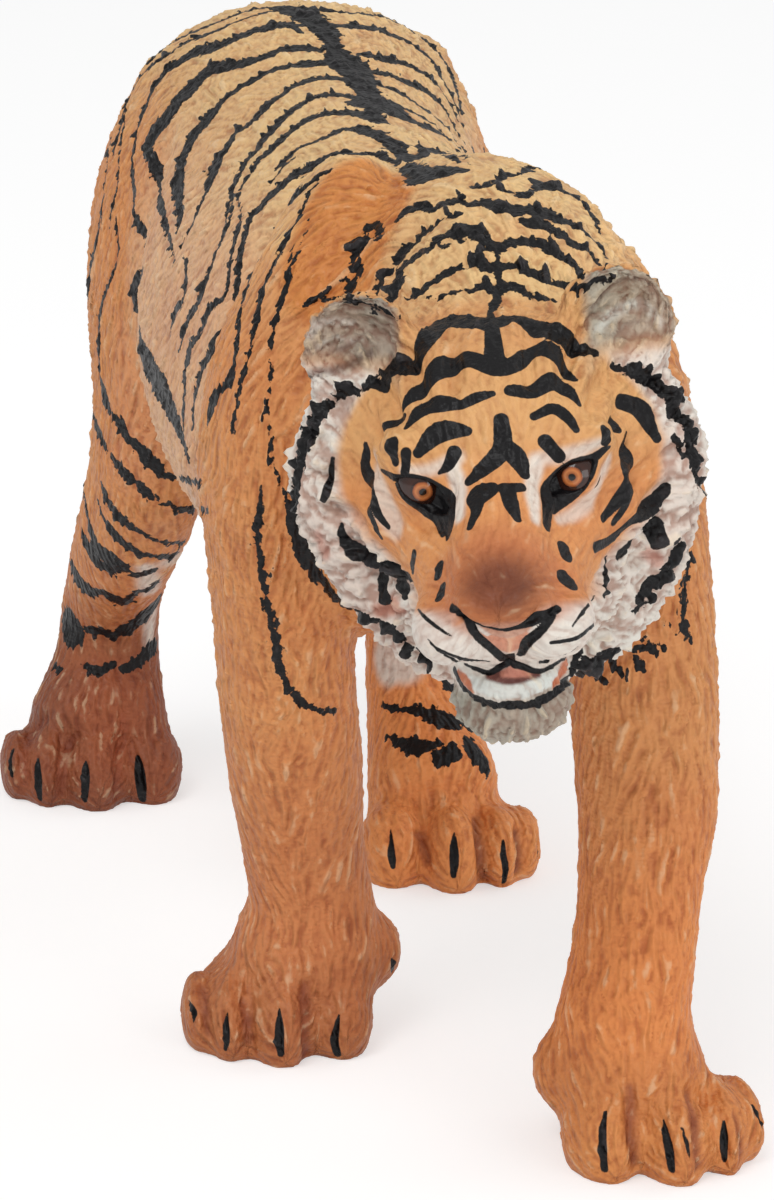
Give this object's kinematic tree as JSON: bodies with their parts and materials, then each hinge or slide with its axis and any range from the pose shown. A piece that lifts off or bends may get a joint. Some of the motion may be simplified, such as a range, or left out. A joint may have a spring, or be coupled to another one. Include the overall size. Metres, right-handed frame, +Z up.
{
  "type": "tiger figurine",
  "caption": "Moulded tiger walking with a lowered, turned head, a tufted ruff round the cheeks and a hanging tail, standing on flat soles.",
  "frame": {"origin": "middle of the bounding box on the surface that the soles stand on", "axes": "+Z up, -Y ahead along the tiger's walk, +X to the tiger's left"},
  "size_m": [0.0356, 0.1143, 0.058],
  "materials": {
    "painted_plastic": "hand-painted satin over a moulded fur texture"
  },
  "bodies": {
    "root": {"tiger": "painted_plastic"}
  },
  "joints": []
}
